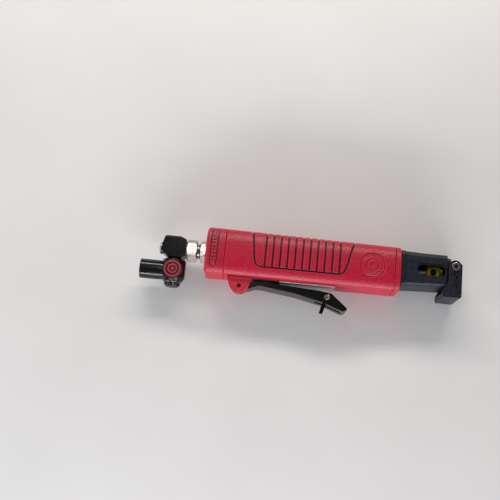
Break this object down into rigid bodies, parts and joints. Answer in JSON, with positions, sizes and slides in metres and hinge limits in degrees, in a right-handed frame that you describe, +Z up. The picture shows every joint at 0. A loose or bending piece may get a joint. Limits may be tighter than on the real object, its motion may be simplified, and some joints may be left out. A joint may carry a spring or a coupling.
{
  "type": "pneumatic reciprocating saw",
  "caption": "Hand-held pneumatic reciprocating air saw: ribbed red grip, throttle lever with lock-off catch, blade nose with guard, and a two-axis swivel air inlet.",
  "frame": {"origin": "on the flat of the side the tool lies on, under the grip's middle and under the piston's axis", "axes": "+X along the piston's axis towards the blade, +Y away from the lever, +Z up out of the side that faces up when the tool lies down"},
  "size_m": [0.2372, 0.0569, 0.0338],
  "materials": {
    "red_enamel": "satin leather-grain enamel",
    "black_steel": "semi-gloss black",
    "charcoal_cast": "grainy charcoal coating",
    "black_composite": "black moulded composite",
    "bright_steel": "bright plated steel",
    "ground_steel": "ground steel",
    "brass": "yellow",
    "seal_rubber": "matt",
    "felt": "felt",
    "pale_metal": "satin",
    "badge_print": "red on black"
  },
  "bodies": {
    "tool": {"housing": "red_enamel", "rear_cap": "red_enamel", "front_collar": "red_enamel", "nose": "charcoal_cast", "inlet_bushing": "bright_steel", "swivel_stem": "bright_steel", "stem_end_cap": "bright_steel", "shoe_screw_near": "bright_steel", "shoe_screw_far": "bright_steel", "lever_pin": "ground_steel", "throttle_spring": "ground_steel", "valve_block": "ground_steel", "valve_cage": "ground_steel", "cylinder": "ground_steel", "throttle_bush": "brass", "throttle_plug": "brass", "air_strainer": "brass", "front_bush": "brass", "throttle_seat": "seal_rubber", "bumper": "seal_rubber", "rod_seal": "seal_rubber", "exhaust_felt": "felt", "label_plate": "pale_metal"},
    "lever": {"lever": "black_steel", "catch_pin": "bright_steel"},
    "catch": {"safety_catch": "black_steel"},
    "throttle": {"throttle_stem": "ground_steel"},
    "ram": {"piston": "ground_steel", "piston_ring_front": "ground_steel", "piston_ring_rear": "ground_steel", "piston_rod": "ground_steel", "chuck": "brass", "chuck_screw_near": "black_steel", "chuck_screw_far": "black_steel"},
    "valve_disc": {"valve_disc": "ground_steel"},
    "swivel_head": {"swivel_head": "black_composite", "head_seal_front": "seal_rubber", "head_seal_rear": "seal_rubber", "body_washer": "bright_steel"},
    "swivel_body": {"swivel_body": "black_composite", "badge_cap": "badge_print"},
    "knob": {"regulator_knob": "black_composite"},
    "shoe": {"shoe": "charcoal_cast", "guide_pad_near": "badge_print", "guide_pad_far": "badge_print"}
  },
  "joints": [
    {"name": "lever_press", "type": "hinge", "parent": "tool", "child": "lever", "pos_m": [-0.0452, -0.0246, 0.0168], "axis": [0, 0, 1], "range_deg": [0, 3.2], "stiffness_Nm_per_rad": 4, "springref_deg": -2.86},
    {"name": "catch_fold", "type": "hinge", "parent": "lever", "child": "catch", "pos_m": [0.0204, -0.027, 0.0168], "axis": [0, 0, 1], "range_deg": [0, 75]},
    {"name": "stem_push", "type": "slide", "parent": "tool", "child": "throttle", "axis": [0, 1, 0], "range_m": [0, 0.00115]},
    {"name": "ram_stroke", "type": "slide", "parent": "tool", "child": "ram", "axis": [1, 0, 0], "range_m": [-0.008, 0.0018]},
    {"name": "valve_flip", "type": "slide", "parent": "tool", "child": "valve_disc", "axis": [1, 0, 0], "range_m": [0, 0.0015]},
    {"name": "swivel_roll", "type": "hinge", "parent": "tool", "child": "swivel_head", "pos_m": [-0.0953, 0, 0.0168], "axis": [1, 0, 0], "continuous": true},
    {"name": "swivel_swing", "type": "hinge", "parent": "swivel_head", "child": "swivel_body", "pos_m": [-0.0953, -0.0168, 0.0168], "axis": [0, 1, 0], "range_deg": [-120, 120]},
    {"name": "knob_turn", "type": "hinge", "parent": "swivel_head", "child": "knob", "pos_m": [-0.0953, -0.028, 0.0168], "axis": [0, 1, 0], "range_deg": [0, 270]},
    {"name": "shoe_tilt", "type": "hinge", "parent": "tool", "child": "shoe", "pos_m": [0.1118, 0.0041, 0.0168], "axis": [0, 0, 1], "range_deg": [0, 20]}
  ],
  "couplings": [
    {"joint": "catch_fold", "follows": "lever_press", "ratio": 23.4},
    {"joint": "stem_push", "follows": "lever_press", "m_per_rad": 0.02}
  ]
}
